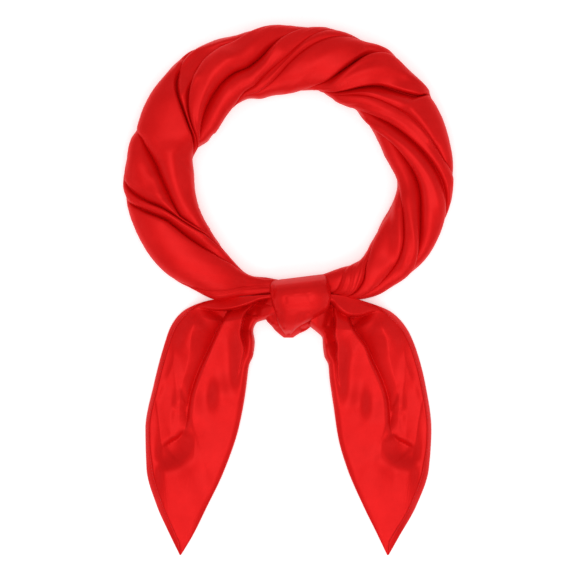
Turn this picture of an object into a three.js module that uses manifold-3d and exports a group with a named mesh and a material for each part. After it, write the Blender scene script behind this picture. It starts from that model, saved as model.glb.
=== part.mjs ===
// A satin neckerchief, rolled from its corner, tied in a neck ring and lying flat on a table.
// The ring lies in the XY plane with its knot towards -Y, the two tails run on towards -Y, and +Z is up.
import * as THREE from 'three';
import Module from 'manifold-3d';

const wasm = await Module();
wasm.setup();

// Driving dimensions, in millimetres
const ringRadius = 82.5;      // middle of the opening to the middle of the roll
const rollWidth = 43;         // the roll across, seen from above
const rollHeight = 25;        // table to the top of the roll, before its folds puff up
const foldDepth = 6;          // step where one fold of the roll lies over the next
const foldLip = 2.4;          // rounded edge of the upper fold
const foldDive = 14;          // width over which the lower fold goes under
const knotWidth = 39;         // band over the knot, across
const knotLength = 39;        // band over the knot, from the opening to the tails
const knotHeight = 29;        // table to the top of the knot
const coreWidth = 41;         // the turns inside the knot, across
const coreHeight = 19;        // table to the top of those turns
const tailLength = 164;       // middle of the knot to a tail's tip
const tailWidth = 61;         // widest part of a tail
const tailLift = 12;          // a tail's height over the table where it leaves the knot
const tailFold = 5;           // height of a tail's main folds
const clothWall = 1.2;
const hemWidth = 5;
const hemWall = 1.9;
const clearance = 0.3;        // gap between pieces that meet

// The roll's sections. Station is degrees round the ring from the knot, clockwise from above.
// Middle is a share of ringRadius, width of rollWidth, height and lift of rollHeight.
const rollSections = table(['station', 'middle', 'width', 'height', 'lift'], [
  [2, 0.92, 0.2, 0.46, 0.3],
  [10, 0.93, 0.26, 0.52, 0.24],
  [20, 0.966, 0.335, 0.64, 0.12],
  [30, 1.006, 0.63, 0.82, 0.03],
  [40, 1.006, 0.775, 0.92, 0],
  [50, 1.024, 0.91, 0.98, 0],
  [60, 1.033, 0.95, 1, 0],
  [74, 1.031, 1.0, 1, 0],
  [88, 1.033, 1.085, 1, 0],
  [99, 1.013, 0.976, 1, 0],
  [111, 0.96, 1.09, 1, 0],
  [121, 0.952, 1.105, 1, 0],
  [140, 0.957, 1.13, 1, 0],
  [150, 0.936, 1.075, 1, 0],
  [160, 0.888, 1.06, 1, 0],
  [180, 0.878, 1.025, 1, 0],
  [200, 0.919, 0.962, 0.98, 0],
  [210, 0.924, 0.985, 0.98, 0],
  [220, 0.958, 1.08, 1, 0],
  [230, 0.974, 1.0, 1, 0],
  [240, 0.991, 1.05, 1, 0],
  [260, 1.022, 0.98, 1, 0],
  [281, 1.082, 0.826, 0.96, 0],
  [300, 1.062, 0.85, 0.95, 0],
  [310, 1.062, 0.786, 0.9, 0],
  [320, 1.06, 0.61, 0.84, 0.01],
  [330, 1.027, 0.56, 0.76, 0.05],
  [340, 0.962, 0.36, 0.6, 0.14],
  [348, 0.935, 0.27, 0.5, 0.24],
]);

// The folds' edges: six lines wind round the roll, and each row is one crossing over its top.
// The first five numbers are the stations where the line is at the roll's inner edge, a quarter of the way
// up and over, on top, three quarters over and at the outer edge. Depths are shares of foldDepth, over is
// 1 where the fold on the outer side lies on top and 0 where the inner one does, lip is a share of foldLip
// and dive of foldDive. The depths hold at the three angles of depthAngles, and the overs at its ends.
const foldEdges = table(
  ['line', 'turn', 'inside', 'low', 'top', 'high', 'outside', 'deepLow', 'deepTop', 'deepHigh',
    'overLow', 'overHigh', 'lip', 'dive'], [
  [3, -1, -90, -50, 10, 28, 40, 0, 0, 0, 1, 1, 1, 1],
  [4, -1, -95, -55, 4, 24, 38, 0, 0, 0, 1, 1, 1, 1],
  [5, -1, -100, -60, -2, 20, 36, 0, 0, 0, 1, 1, 1, 1],
  [0, 0, 20, 38, 66.5, 75, 80, 0.8, 1, 0.8, 1, 1, 0.9, 0.7],
  [1, 0, 30, 56, 72.5, 80, 87, 0.6, 0.8, 0.8, 1, 1, 0.9, 1.2],
  [2, 0, 40, 52, 91, 101.5, 106, 0.5, 0.9, 0.8, 0.4, 0.15, 3, 1.2],
  [3, 0, 98, 107, 119, 128, 136, 0.8, 1.2, 1.1, 1, 1, 0.8, 1.4],
  [4, 0, 100, 109, 124.5, 152, 172, 0.2, 0.8, 1.1, 0, 0, 0.9, 1.4],
  [5, 0, 94, 114, 163, 179, 192, 1.2, 1.2, 0.6, 0.9, 0, 0.9, 1.5],
  [0, 1, 137, 156, 178, 190, 200, 0.5, 0.2, 0.1, 1, 1, 1.5, 0.8],
  [1, 1, 138, 168, 183, 197, 210, 0.15, 0.2, 0.15, 0.5, 0.5, 4, 1],
  [2, 1, 190, 202.5, 209.5, 215.5, 229, 0.6, 0.9, 0.9, 1, 0, 0.9, 0.9],
  [3, 1, 200, 214.5, 226.5, 240, 242, 0.8, 1.4, 1.1, 1, 1, 0.8, 1.5],
  [4, 1, 204, 219, 242, 265, 274, 0.2, 0.4, 0.7, 0.5, 0.5, 4, 1.2],
  [5, 1, 225, 238.5, 258, 275, 286, 0.7, 0.9, 0.9, 1, 1, 0.9, 1.2],
  [0, 2, 238, 255.5, 286, 303, 316, 0.7, 1.1, 1.1, 1, 0, 0.9, 1.3],
  [1, 2, 276, 287, 302, 324, 336, 0.4, 0.6, 0.7, 0.6, 0.1, 2, 1.2],
  [2, 2, 306, 320, 325.5, 333, 339, 0.5, 0.7, 0.6, 1, 1, 0.9, 0.5],
  [3, 2, 315, 323, 329, 335, 342, 0.5, 0.6, 0.5, 1, 1, 0.9, 0.5],
  [4, 2, 322, 328, 332, 336.5, 344, 0.3, 0.4, 0.3, 0.5, 0.5, 1, 1],
  [5, 2, 327, 332, 336, 340, 346, 0.2, 0.2, 0.2, 0.5, 0.5, 1, 1],
]);

// Soft ridges and hollows between the edges, from one station and angle over the roll to another.
// Height is a share of foldDepth and reach a share of foldDive; a hollow's height is negative.
const rollDents = table(['station', 'angle', 'toStation', 'toAngle', 'height', 'reach'], [
  [98, 66, 54, 32, 0.3, 0.55],
  [94, 40, 66, 48, -0.25, 0.5],
  [86, 90, 72, 84, 0.2, 0.4],
  [92, 165, 83, 112, -0.25, 0.5],
  [150, 108, 114, 54, 0.3, 0.7],
  [174, 107, 120, 17, 0.3, 0.7],
  [228, 96, 231, 125, -0.3, 0.6],
  [244, 105, 257, 116, 0.25, 0.4],
  [216, 26, 272, 155, 0.25, 0.6],
  [245, 38, 282, 132, 0.2, 0.5],
  [285, 48, 307, 130, 0.25, 0.7],
  [294, 30, 311, 80, -0.35, 0.8],
  [20, 69, 13, 46, -0.3, 0.5],
]);

// The knot's band and the turns inside it. Down is a share of knotLength from the knot's middle, the sides
// are shares of half the width, and top and under are shares of the height.
const bandSections = table(['down', 'left', 'right', 'top', 'under'], [
  [-0.455, -0.86, 0.8, 0.46, 0.24],
  [-0.38, -0.97, 0.92, 0.82, 0.16],
  [-0.25, -0.98, 1, 0.97, 0.12],
  [-0.1, -0.95, 1.04, 1, 0.1],
  [0.04, -0.88, 0.99, 0.94, 0.09],
  [0.17, -0.79, 0.7, 0.84, 0.08],
  [0.3, -0.72, 0.2, 0.7, 0.07],
  [0.42, -0.6, -0.14, 0.5, 0.06],
  [0.52, -0.44, -0.3, 0.3, 0.1],
]);
const coreSections = table(['down', 'left', 'right', 'top', 'under'], [
  [-0.34, -0.7, 0.5, 0.5, 0],
  [-0.18, -0.98, 0.72, 0.92, 0],
  [0, -1.14, 0.76, 1, 0],
  [0.16, -1.14, 0.62, 0.94, 0],
  [0.28, -1.04, 0.5, 0.84, 0],
  [0.37, -0.88, 0.36, 0.72, 0],
  [0.44, -0.77, 0.2, 0.58, 0],
  [0.5, -0.645, -0.04, 0.42, 0],
  [0.56, -0.5, -0.2, 0.2, 0],
]);
const knotAcross = 0.085;     // the knot's middle, as shares of ringRadius from the ring's middle
const knotDown = 1.055;

// The tails' edges, from the knot to the tip: across is a share of tailWidth and down of tailLength,
// both from the knot's middle, for the outer edge and then for the inner one.
const leftTail = table(['outAcross', 'outDown', 'inAcross', 'inDown', 'lift'], [
  [0.2, -0.042, 0.24, 0.05, 1.15],
  [0.596, -0.031, 0.462, 0.075, 1],
  [0.936, -0.018, 0.494, 0.107, 0.86],
  [1.234, 0.024, 0.478, 0.151, 0.66],
  [1.376, 0.087, 0.494, 0.202, 0.5],
  [1.453, 0.167, 0.537, 0.242, 0.4],
  [1.559, 0.317, 0.579, 0.357, 0.28],
  [1.65, 0.496, 0.652, 0.496, 0.2],
  [1.638, 0.655, 0.811, 0.667, 0.16],
  [1.532, 0.798, 0.99, 0.806, 0.13],
  [1.41, 0.901, 1.137, 0.917, 0.12],
  [1.284, 0.998, 1.27, 1, 0.12],
]);
const rightTail = table(['outAcross', 'outDown', 'inAcross', 'inDown', 'lift'], [
  [0.2, -0.045, 0.1, 0.085, 1.15],
  [0.484, -0.033, 0.245, 0.136, 1],
  [0.713, -0.01, 0.25, 0.165, 0.86],
  [0.97, 0.028, 0.264, 0.206, 0.66],
  [1.133, 0.088, 0.307, 0.242, 0.5],
  [1.227, 0.157, 0.319, 0.294, 0.4],
  [1.347, 0.317, 0.364, 0.409, 0.28],
  [1.412, 0.496, 0.414, 0.532, 0.2],
  [1.385, 0.655, 0.511, 0.655, 0.16],
  [1.252, 0.802, 0.682, 0.802, 0.13],
  [1.07, 0.923, 0.823, 0.909, 0.12],
  [0.957, 0.998, 0.94, 1, 0.12],
]);

// The tails' folds, each along a bend of three points given as the edges are. Height is a share of tailFold,
// and the two reaches, on the outer and on the inner side of the line, are shares of tailWidth.
const leftFolds = table(['across', 'down', 'midAcross', 'midDown', 'endAcross', 'endDown',
  'height', 'outReach', 'inReach'], [
  [0.4, -0.03, 0.85, 0.01, 1.2, 0.02, 0.7, 0.1, 0.06],
  [0.5, 0.06, 0.85, 0.1, 0.92, 0.2, -0.7, 0.1, 0.08],
  [0.6, 0.03, 1.02, 0.2, 1.2, 0.5, 0.9, 0.07, 0.2],
  [1.14, 0.08, 1.25, 0.2, 1.3, 0.34, 0.35, 0.12, 0.1],
  [0.5, 0.02, 0.66, 0.2, 0.7, 0.32, -0.45, 0.1, 0.08],
  [0.43, 0.02, 0.55, 0.1, 0.54, 0.22, 0.6, 0.05, 0.08],
  [0.85, 0.4, 0.92, 0.55, 1.1, 0.75, 0.3, 0.12, 0.16],
  [1.3, 0.6, 1.37, 0.64, 1.4, 0.68, -0.4, 0.12, 0.12],
]);
const rightFolds = table(['across', 'down', 'midAcross', 'midDown', 'endAcross', 'endDown',
  'height', 'outReach', 'inReach'], [
  [0.4, -0.02, 0.7, 0.015, 0.9, 0.025, 0.7, 0.08, 0.06],
  [0.4, 0.05, 0.6, 0.08, 0.72, 0.18, -0.7, 0.1, 0.08],
  [0.4, 0.04, 0.8, 0.2, 0.94, 0.5, 0.9, 0.07, 0.2],
  [0.9, 0.07, 1.02, 0.2, 1.08, 0.34, 0.35, 0.12, 0.1],
  [0.36, 0.07, 0.45, 0.22, 0.48, 0.32, -0.45, 0.1, 0.08],
  [0.24, 0.08, 0.34, 0.12, 0.34, 0.22, 0.6, 0.05, 0.08],
  [0.55, 0.4, 0.62, 0.55, 0.8, 0.75, 0.3, 0.12, 0.16],
  [1.05, 0.6, 1.11, 0.64, 1.14, 0.68, -0.4, 0.12, 0.12],
]);

// How finely the solids are faceted
const rollSteps = 76;         // sections round the ring
const lobeSteps = [0, 0.12, 0.3, 0.5, 0.7, 0.88];   // places across each of the roll's six folds
const tailRows = 28;
const tailColumns = 12;

const hemStart = 0.2;         // share of the way down a tail where its hem comes into sight
const lineCount = 6;
const depthAngles = [30, 90, 150];
const lineGap = 9;            // the least angle between two edges, in degrees
const flankDepth = 0.3;       // share of a step that still shows at the roll's outline
const diveRoom = 0.85;        // most of a fold's width that goes under its neighbour
const lipRoom = 0.55;         // most of a fold's width that its lip takes
const domeShare = 0.05;       // how far a fold puffs up, as a share of its width
const bellyShare = 0.42;      // the roll is widest at this share of its height
const pressShare = 1.28;      // how much further down the roll would reach if the table gave way
const rollSquare = 0.62;      // below 1 the roll's top is flatter than an oval's, and so for the knot's forms
const bandSquare = 0.62;
const coreSquare = 0.8;
const knotSteps = 18;         // sections down the knot, and places round each
const knotSides = 24;
const bandSlant = 0.125;      // rise of the band's top edge over its width
const leadIn = 75;            // stations that a line winds on before its first crossing and after its last
const leadOut = 64;
const hemFade = 0.06;         // share of the way down a tail over which its hem comes into sight
const hemShareMost = 0.45;    // most of a tail's width that its hem takes, and that the gap beside it takes
const gapShareMost = 0.2;
const bendSteps = 8;          // straight parts along a tail's fold
const sagShare = 0.75;        // a tail's height at its edges, as a share of that at its middle

// Turns rows of numbers into objects with named values.
function table(names, rows) {
  return rows.map((row) => Object.fromEntries(names.map((name, i) => [name, row[i]])));
}

// A smooth curve through points that never overshoots between two of them.
function smoothCurve(xs, ys) {
  const last = xs.length - 1;
  const secants = xs.slice(1).map((x, i) => (ys[i + 1] - ys[i]) / (x - xs[i]));
  const slopes = xs.map((x, i) => {
    if (i === 0) return secants[0];
    if (i === last) return secants[last - 1];
    const [before, after] = [secants[i - 1], secants[i]];
    return before * after <= 0 ? 0 : (2 * before * after) / (before + after);
  });
  return (x) => {
    const i = Math.min(Math.max(xs.findIndex((value) => value > x) - 1, 0), last - 1);
    const at = x >= xs[last] ? last - 1 : i;
    const span = xs[at + 1] - xs[at];
    const t = (x - xs[at]) / span;
    if (t < 0) return ys[0] + slopes[0] * (x - xs[0]);
    if (t > 1) return ys[last] + slopes[last] * (x - xs[last]);
    const [a, b] = [ys[at], ys[at + 1]];
    const rise = (2 * t ** 3 - 3 * t ** 2 + 1) * a + (3 * t ** 2 - 2 * t ** 3) * b;
    return rise + span * ((t ** 3 - 2 * t ** 2 + t) * slopes[at] + (t ** 3 - t ** 2) * slopes[at + 1]);
  };
}

// One smooth curve for each named column of a table, over another of its columns.
function columnCurves(rows, over, names) {
  const xs = rows.map((row) => row[over]);
  return Object.fromEntries(names.map((name) => [name, smoothCurve(xs, rows.map((row) => row[name]))]));
}

function mix(a, b, share) {
  return a + (b - a) * share;
}

function smoothStep(low, high, x) {
  const t = Math.min(Math.max((x - low) / (high - low), 0), 1);
  return t * t * (3 - 2 * t);
}

// A closed surface from rings of points, each ring closed, with both ends covered. The faces point outwards.
function ringSolid(rings) {
  const count = rings[0].length;
  const points = rings.flat();
  const faces = [];
  for (let i = 0; i + 1 < rings.length; i += 1) {
    for (let j = 0; j < count; j += 1) {
      const [a, b] = [i * count + j, i * count + ((j + 1) % count)];
      faces.push([a, b, b + count], [a, b + count, a + count]);
    }
  }
  for (const [ring, start] of [[rings[0], 0], [rings.at(-1), (rings.length - 1) * count]]) {
    const middle = points.length;
    points.push(ring.reduce((sum, p) => sum.map((value, k) => value + p[k] / count), [0, 0, 0]));
    for (let j = 0; j < count; j += 1) {
      const [a, b] = [start + j, start + ((j + 1) % count)];
      faces.push(start === 0 ? [middle, b, a] : [middle, a, b]);
    }
  }
  return solidFrom(points, faces);
}

// A closed surface from points and faces, turned the right way out if its volume comes out negative.
function solidFrom(points, faces) {
  const volume = faces.reduce((sum, [a, b, c]) => {
    const [p, q, r] = [points[a], points[b], points[c]];
    return sum + p[0] * (q[1] * r[2] - q[2] * r[1]) - p[1] * (q[0] * r[2] - q[2] * r[0])
      + p[2] * (q[0] * r[1] - q[1] * r[0]);
  }, 0);
  const turned = volume < 0 ? faces.map(([a, b, c]) => [a, c, b]) : faces;
  const mesh = new wasm.Mesh({
    numProp: 3,
    vertProperties: new Float32Array(points.flat()),
    triVerts: new Uint32Array(turned.flat()),
  });
  return new wasm.Manifold(mesh);
}

// A number's size raised to a power, with its sign kept.
function squared(value, power) {
  return Math.sign(value) * Math.abs(value) ** power;
}

// The largest of the bodies that a cut leaves.
function mainBody(solid) {
  return solid.decompose().reduce((best, body) => (body.volume() > best.volume() ? body : best));
}

function geometryOf(solid) {
  const { vertProperties, triVerts } = solid.getMesh();
  const geometry = new THREE.BufferGeometry();
  geometry.setAttribute('position', new THREE.BufferAttribute(new Float32Array(vertProperties), 3));
  geometry.setIndex(new THREE.BufferAttribute(new Uint32Array(triVerts), 1));
  geometry.computeVertexNormals();
  return geometry;
}

// Each line's angle round the roll, counted on from turn to turn, and its step, as curves.
function windingLines() {
  return Array.from({ length: lineCount }, (_, line) => {
    const rows = foldEdges.filter((row) => row.line === line);
    const [first, final] = [rows[0], rows.at(-1)];
    const path = [[first.inside - leadIn, 360 * first.turn - 180]];
    const depths = [];
    const overs = [];
    const lips = [];
    const dives = [];
    for (const row of rows) {
      const base = 360 * row.turn;
      const names = ['inside', 'low', 'top', 'high', 'outside'];
      names.forEach((name, i) => path.push([row[name], base + (180 * i) / (names.length - 1)]));
      const [lowAngle, topAngle, highAngle] = depthAngles.map((angle) => base + angle);
      depths.push([lowAngle, row.deepLow], [topAngle, row.deepTop], [highAngle, row.deepHigh]);
      overs.push([lowAngle, row.overLow], [highAngle, row.overHigh]);
      lips.push([base, row.lip], [base + 180, row.lip]);
      dives.push([base, row.dive], [base + 180, row.dive]);
    }
    path.push([final.outside + leadOut, 360 * final.turn + 360]);
    const curve = (pairs) => smoothCurve(pairs.map((pair) => pair[0]), pairs.map((pair) => pair[1]));
    const held = (pairs) => (angle) => curve(pairs)(
      Math.min(Math.max(angle, pairs[0][0]), pairs.at(-1)[0]));
    return { angle: curve(path), depth: held(depths), over: held(overs), lip: held(lips), dive: held(dives) };
  });
}

// The lines' angles at a station, in falling order and never closer than lineGap.
function lineAngles(lines, station) {
  const angles = lines.map((line) => line.angle(station));
  for (let k = 1; k < lineCount; k += 1) {
    angles[k] = Math.min(angles[k], angles[k - 1] - lineGap);
  }
  for (let k = lineCount - 1; k > 0; k -= 1) {
    angles[k] = Math.max(angles[k], angles[0] - 360 + lineGap * (lineCount - k));
  }
  return [...angles, angles[0] - 360];
}

// How much of a step is left at a share of its reach: a round lip where the fold is on top, a slope below.
function stepLeft(share, onTop) {
  const left = 1 - Math.min(Math.max(share, 0), 1);
  const lip = 1 - Math.sqrt(1 - left * left);
  return mix(left * left, lip, onTop);
}

// The height that a row of rollDents adds at a station and angle, in millimetres.
function dentHeight(dent, station, angle, middle, alongAngle) {
  const alongStation = (middle * Math.PI) / 180;
  const [sx, sy] = [(dent.toStation - dent.station) * alongStation, (dent.toAngle - dent.angle) * alongAngle];
  const [px, py] = [(station - dent.station) * alongStation, (angle - dent.angle) * alongAngle];
  const t = Math.min(Math.max((px * sx + py * sy) / (sx * sx + sy * sy), 0), 1);
  const reach = dent.reach * foldDive;
  const distance = Math.hypot(px - t * sx, py - t * sy) / reach;
  return dent.height * foldDepth * Math.exp(-distance * distance);
}

// The roll: at each station an oval, pressed flat by the table, with a step at each line.
function rollSolid(grow) {
  const lines = windingLines();
  const section = columnCurves(rollSections, 'station', ['middle', 'width', 'height', 'lift']);
  const [firstStation, lastStation] = [rollSections[0].station, rollSections.at(-1).station];
  const rings = Array.from({ length: rollSteps + 1 }, (_, i) => {
    const station = mix(firstStation, lastStation, i / rollSteps);
    const middle = section.middle(station) * ringRadius;
    const halfWidth = (section.width(station) * rollWidth) / 2 + grow;
    const under = section.lift(station) * rollHeight;
    const height = section.height(station) * rollHeight - under;
    const belly = under + bellyShare * height;
    const [halfUp, halfDown] = [height - bellyShare * height + grow, pressShare * bellyShare * height + grow];
    const angles = lineAngles(lines, station);
    const heading = ((270 - station) * Math.PI) / 180;
    const place = (angle, offset) => {
      const turn = (angle * Math.PI) / 180;
      const [out, up] = [-Math.cos(turn), Math.sin(turn)];
      const tall = up > 0 ? halfUp : halfDown;
      const normal = new THREE.Vector2(out * tall * rollSquare, squared(up, 2 - rollSquare) * halfWidth);
      normal.normalize();
      const radius = middle + halfWidth * out + normal.x * offset;
      const z = belly + tall * squared(up, rollSquare) + normal.y * offset;
      const floor = Math.max(0, under - grow);
      return [radius * Math.cos(heading), radius * Math.sin(heading), Math.max(z, floor)];
    };
    const ring = [];
    for (let k = 0; k < lineCount; k += 1) {
      const [from, to] = [angles[k], angles[k + 1]];
      const [upper, lower] = [lines[k], lines[(k + 1) % lineCount]];
      const lowerAngle = k + 1 < lineCount ? to : to + 360;
      for (const share of lobeSteps) {
        const angle = mix(from, to, share);
        const turn = (angle * Math.PI) / 180;
        const perDegree = (Math.hypot(halfWidth * Math.sin(turn), halfUp * Math.cos(turn)) * Math.PI) / 180;
        const lobe = (from - to) * perDegree;
        const step = (line, lineAngle, distance, onTop) => {
          const flank = mix(flankDepth, 1, Math.max(0, Math.sin((lineAngle * Math.PI) / 180)));
          const depth = line.depth(lineAngle) * foldDepth * flank * Math.min(1, section.width(station));
          const reach = mix(foldDive * line.dive(lineAngle), foldLip * line.lip(lineAngle), onTop);
          const room = lobe * mix(diveRoom, lipRoom, onTop);
          return depth * stepLeft(distance / Math.min(reach, room), onTop);
        };
        const dome = domeShare * Math.min(lobe, rollWidth) * (Math.sqrt(4 * share * (1 - share)) - 0.5);
        const roundAngle = ((angle % 360) + 360) % 360;
        const dents = rollDents.reduce((sum, dent) => (
          sum + dentHeight(dent, station, roundAngle, middle, perDegree)), 0);
        ring.push(place(angle, dome + dents
          - step(upper, from, share * lobe, 1 - upper.over(from))
          - step(lower, lowerAngle, (1 - share) * lobe, lower.over(lowerAngle))));
      }
    }
    return ring;
  });
  return ringSolid(rings);
}

// A form of the knot: a rounded oblong section at each place down its length.
function knotSolid(rows, width, height, square, grow) {
  const curves = columnCurves(rows, 'down', ['left', 'right', 'top', 'under']);
  const [start, end] = [rows[0].down, rows.at(-1).down];
  const rings = Array.from({ length: knotSteps + 1 }, (_, i) => {
    const down = mix(start, end, (1 - Math.cos((Math.PI * i) / knotSteps)) / 2);
    const reach = ((i / knotSteps) * 2 - 1) * grow;
    const y = -knotDown * ringRadius - down * knotLength - reach;
    const [left, right] = [curves.left(down) * width / 2 - grow, curves.right(down) * width / 2 + grow];
    const [top, under] = [curves.top(down) * height + grow, Math.max(0, curves.under(down) * height - grow)];
    return Array.from({ length: knotSides }, (_unused, j) => {
      const turn = (2 * Math.PI * j) / knotSides;
      const across = (left + right) / 2 + (squared(Math.cos(turn), square) * (right - left)) / 2;
      const up = squared(Math.sin(turn), square);
      const slant = bandSlant * across * smoothStep(-0.3, 0.5, -down);
      return [knotAcross * ringRadius + across, y + slant, (top + under) / 2 + (up * (top - under)) / 2];
    });
  });
  return ringSolid(rings);
}

// The distance from a point to a bend through three points, and the side of it the point is on.
function alongBend(bend, x, y) {
  let best = { distance: Infinity, side: 1, along: 0 };
  for (let i = 0; i + 1 < bend.length; i += 1) {
    const [ax, ay] = bend[i];
    const [bx, by] = [bend[i + 1][0] - ax, bend[i + 1][1] - ay];
    const t = Math.min(Math.max(((x - ax) * bx + (y - ay) * by) / (bx * bx + by * by), 0), 1);
    const distance = Math.hypot(x - ax - t * bx, y - ay - t * by);
    if (distance < best.distance) {
      const side = bx * (y - ay) - by * (x - ax) > 0 ? 1 : -1;
      best = { distance, side, along: (i + t) / (bend.length - 1) };
    }
  }
  return best;
}

// A tail's top surface at a share across it and a share of the way down, as [x, y, z].
function tailSurface(rows, folds, side) {
  const shares = rows.map((row, i) => ({ ...row, share: i / (rows.length - 1) }));
  const curves = columnCurves(shares, 'share', ['outAcross', 'outDown', 'inAcross', 'inDown', 'lift']);
  const bends = folds.map((fold) => {
    const points = [[fold.across, fold.down], [fold.midAcross, fold.midDown], [fold.endAcross, fold.endDown]];
    const places = points.map(([a, d]) => new THREE.Vector2(a * tailWidth, d * tailLength));
    const curve = new THREE.SplineCurve(places);
    return { ...fold, bend: curve.getPoints(bendSteps).map((point) => [point.x, point.y]) };
  });
  return (across, down) => {
    const a = mix(curves.outAcross(down), curves.inAcross(down), across) * tailWidth;
    const d = mix(curves.outDown(down), curves.inDown(down), across) * tailLength;
    const heights = bends.map((fold) => {
      const near = alongBend(fold.bend, a, d);
      const reach = (near.side > 0 ? fold.inReach : fold.outReach) * tailWidth;
      return fold.height * tailFold * Math.exp(-((near.distance / reach) ** 2));
    });
    const lift = curves.lift(down) * tailLift * mix(sagShare, 1, Math.sin(Math.PI * across));
    const z = Math.max(lift + heights.reduce((sum, value) => sum + value, 0), clothWall);
    const [x, y] = [knotAcross * ringRadius + side * a, -knotDown * ringRadius - d];
    return [x, y, z];
  };
}

// A cloth of even thickness under a surface, between two shares of its width that may change on the way down.
function clothSolid(surface, from, to, firstRow, columns, rise, wall) {
  const rings = Array.from({ length: tailRows + 1 - firstRow }, (_, i) => {
    const down = (firstRow + i) / tailRows;
    const [low, high] = [from(down), to(down)];
    const shares = Array.from({ length: columns + 1 }, (_unused, j) => mix(low, high, j / columns));
    const top = shares.map((share) => surface(share, down));
    const above = top.map(([x, y, z]) => [x, y, z + rise]);
    const below = top.map(([x, y, z]) => [x, y, Math.max(0, z + rise - wall)]).reverse();
    return [...above, ...below];
  });
  return ringSolid(rings);
}

// A tail and the hem along its outer edge, which starts where the edge comes out from under the top fold.
function tailSolids(rows, folds, side) {
  const surface = tailSurface(rows, folds, side);
  const hemRow = Math.round(hemStart * tailRows);
  const hemShare = (down) => {
    const [o, i] = [surface(0, down), surface(1, down)];
    const width = Math.hypot(o[0] - i[0], o[1] - i[1]);
    const shown = smoothStep(hemStart - hemFade, hemStart + hemFade, down);
    const full = Math.min(hemWidth * shown, width * hemShareMost);
    return { full: full / width, gap: Math.min(clearance, width * gapShareMost) / width };
  };
  const tail = clothSolid(surface, (down) => hemShare(down).full, () => 1, 0, tailColumns, 0, clothWall);
  const hem = clothSolid(surface, () => 0, (down) => hemShare(down).full - hemShare(down).gap, hemRow,
    2, hemWall - clothWall, hemWall);
  return { tail, hem };
}

function piece(name, solid, colour, roughness) {
  const material = new THREE.MeshStandardMaterial({ color: colour, roughness, metalness: 0 });
  const mesh = new THREE.Mesh(geometryOf(solid), material);
  mesh.name = name;
  return mesh;
}

const satinRed = 0xd40f12;
const shadeRed = 0xb80a0e;
const satinRoughness = 0.42;

const roll = rollSolid(0);
const rollRoom = rollSolid(clearance);
const band = knotSolid(bandSections, knotWidth, knotHeight, bandSquare, 0);
const bandRoom = knotSolid(bandSections, knotWidth, knotHeight, bandSquare, clearance);
const core = knotSolid(coreSections, coreWidth, coreHeight, coreSquare, 0);
const coreRoom = knotSolid(coreSections, coreWidth, coreHeight, coreSquare, clearance);
const left = tailSolids(leftTail, leftFolds, -1);
const right = tailSolids(rightTail, rightFolds, 1);
const cutTail = (solid) => mainBody(solid.subtract(bandRoom).subtract(coreRoom).subtract(rollRoom));

const neckerchief = new THREE.Group();
neckerchief.add(
  piece('neck_loop', mainBody(roll.subtract(bandRoom).subtract(coreRoom)), satinRed, satinRoughness),
  piece('knot_wrap', mainBody(band.subtract(coreRoom)), satinRed, satinRoughness),
  piece('knot_core', core, shadeRed, satinRoughness),
  piece('tail_left', cutTail(left.tail), satinRed, satinRoughness),
  piece('tail_right', cutTail(right.tail), satinRed, satinRoughness),
  piece('hem_left', cutTail(left.hem), shadeRed, satinRoughness),
  piece('hem_right', cutTail(right.hem), shadeRed, satinRoughness),
);

// The origin is under the middle of the whole piece, on the table.
const bounds = new THREE.Box3().setFromObject(neckerchief);
const middle = bounds.getCenter(new THREE.Vector3());
neckerchief.position.set(-middle.x, -middle.y, -bounds.min.z);

export default neckerchief;
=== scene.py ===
# A satin neckerchief lying flat: the rolled neck ring, its knot, two tails with hems and stitches, a pale
# floor, soft studio light and a camera straight above. Lengths are in metres.
import math
import bpy
import numpy as np
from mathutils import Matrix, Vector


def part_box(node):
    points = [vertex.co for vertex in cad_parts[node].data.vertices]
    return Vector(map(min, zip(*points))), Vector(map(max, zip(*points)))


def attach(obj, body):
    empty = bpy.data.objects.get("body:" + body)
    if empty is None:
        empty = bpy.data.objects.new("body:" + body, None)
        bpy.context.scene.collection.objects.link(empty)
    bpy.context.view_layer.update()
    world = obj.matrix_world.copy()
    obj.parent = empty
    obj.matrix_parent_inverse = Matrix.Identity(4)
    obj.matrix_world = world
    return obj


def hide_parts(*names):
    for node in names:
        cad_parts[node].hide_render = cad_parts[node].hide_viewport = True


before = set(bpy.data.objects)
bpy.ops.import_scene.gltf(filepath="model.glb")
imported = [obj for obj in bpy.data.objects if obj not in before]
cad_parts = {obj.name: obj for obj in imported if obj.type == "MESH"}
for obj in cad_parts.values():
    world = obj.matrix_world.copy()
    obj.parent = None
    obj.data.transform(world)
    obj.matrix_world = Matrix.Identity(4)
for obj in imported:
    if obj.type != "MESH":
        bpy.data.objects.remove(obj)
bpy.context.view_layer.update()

mm = 0.001


# A share of the way from a to b.
def mix(a, b, share):
    return a + (b - a) * share


# 0 below low, 1 above high, and 3t^2 - 2t^3 between them.
def smoothStep(low, high, x):
    t = np.clip((x - low) / (high - low), 0, 1)
    return t * t * (3 - 2 * t)


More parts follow.
